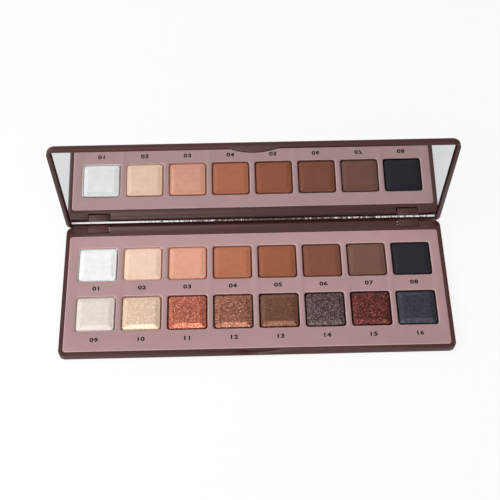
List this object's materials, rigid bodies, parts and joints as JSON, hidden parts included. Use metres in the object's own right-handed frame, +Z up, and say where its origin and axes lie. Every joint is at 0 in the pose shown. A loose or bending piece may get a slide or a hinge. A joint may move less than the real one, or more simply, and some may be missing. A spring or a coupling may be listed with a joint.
{
  "type": "eyeshadow palette",
  "caption": "Slim hinged eyeshadow palette: dark brown case, full-width lid mirror, dusty pink tray with two rows of pans of matte and shimmer powder.",
  "frame": {"origin": "middle of the case's flat underside", "axes": "+X along the case's length to the user's right, +Y towards the hinge at the back, +Z up; the lid is stored open as in the picture"},
  "size_m": [0.1956, 0.0789, 0.0782],
  "materials": {
    "case": "satin, dark brown",
    "tray": "matte, dusty pink",
    "pan_metal": "bright, drawn sheet",
    "pin_steel": "drawn wire",
    "mirror": "silvered glass",
    "tape": "double-sided tape",
    "glue": "clear hot-melt glue",
    "powder_01": "matte pressed powder",
    "powder_02": "matte pressed powder",
    "powder_03": "matte pressed powder",
    "powder_04": "matte pressed powder",
    "powder_05": "matte pressed powder",
    "powder_06": "matte pressed powder",
    "powder_07": "matte pressed powder",
    "powder_08": "matte pressed powder",
    "powder_09": "shimmer pressed powder",
    "powder_10": "shimmer pressed powder",
    "powder_11": "shimmer pressed powder",
    "powder_12": "shimmer pressed powder",
    "powder_13": "shimmer pressed powder",
    "powder_14": "shimmer pressed powder",
    "powder_15": "shimmer pressed powder",
    "powder_16": "shimmer pressed powder"
  },
  "bodies": {
    "base": {"base_shell": "case", "insert_tray": "tray", "pan_glue_dots": "glue", "hinge_pin_left": "pin_steel", "hinge_pin_right": "pin_steel", "pan_01": "pan_metal", "pan_02": "pan_metal", "pan_03": "pan_metal", "pan_04": "pan_metal", "pan_05": "pan_metal", "pan_06": "pan_metal", "pan_07": "pan_metal", "pan_08": "pan_metal", "pan_09": "pan_metal", "pan_10": "pan_metal", "pan_11": "pan_metal", "pan_12": "pan_metal", "pan_13": "pan_metal", "pan_14": "pan_metal", "pan_15": "pan_metal", "pan_16": "pan_metal", "powder_01": "powder_01", "powder_02": "powder_02", "powder_03": "powder_03", "powder_04": "powder_04", "powder_05": "powder_05", "powder_06": "powder_06", "powder_07": "powder_07", "powder_08": "powder_08", "powder_09": "powder_09", "powder_10": "powder_10", "powder_11": "powder_11", "powder_12": "powder_12", "powder_13": "powder_13", "powder_14": "powder_14", "powder_15": "powder_15", "powder_16": "powder_16"},
    "lid": {"lid_shell": "case", "mirror_glass": "mirror", "mirror_tape": "tape"}
  },
  "joints": [
    {"name": "lid_hinge", "type": "hinge", "parent": "base", "child": "lid", "pos_m": [0, 0.0365, 0.00415], "axis": [-1, 0, 0], "range_deg": [-85.8, 10.2]}
  ]
}
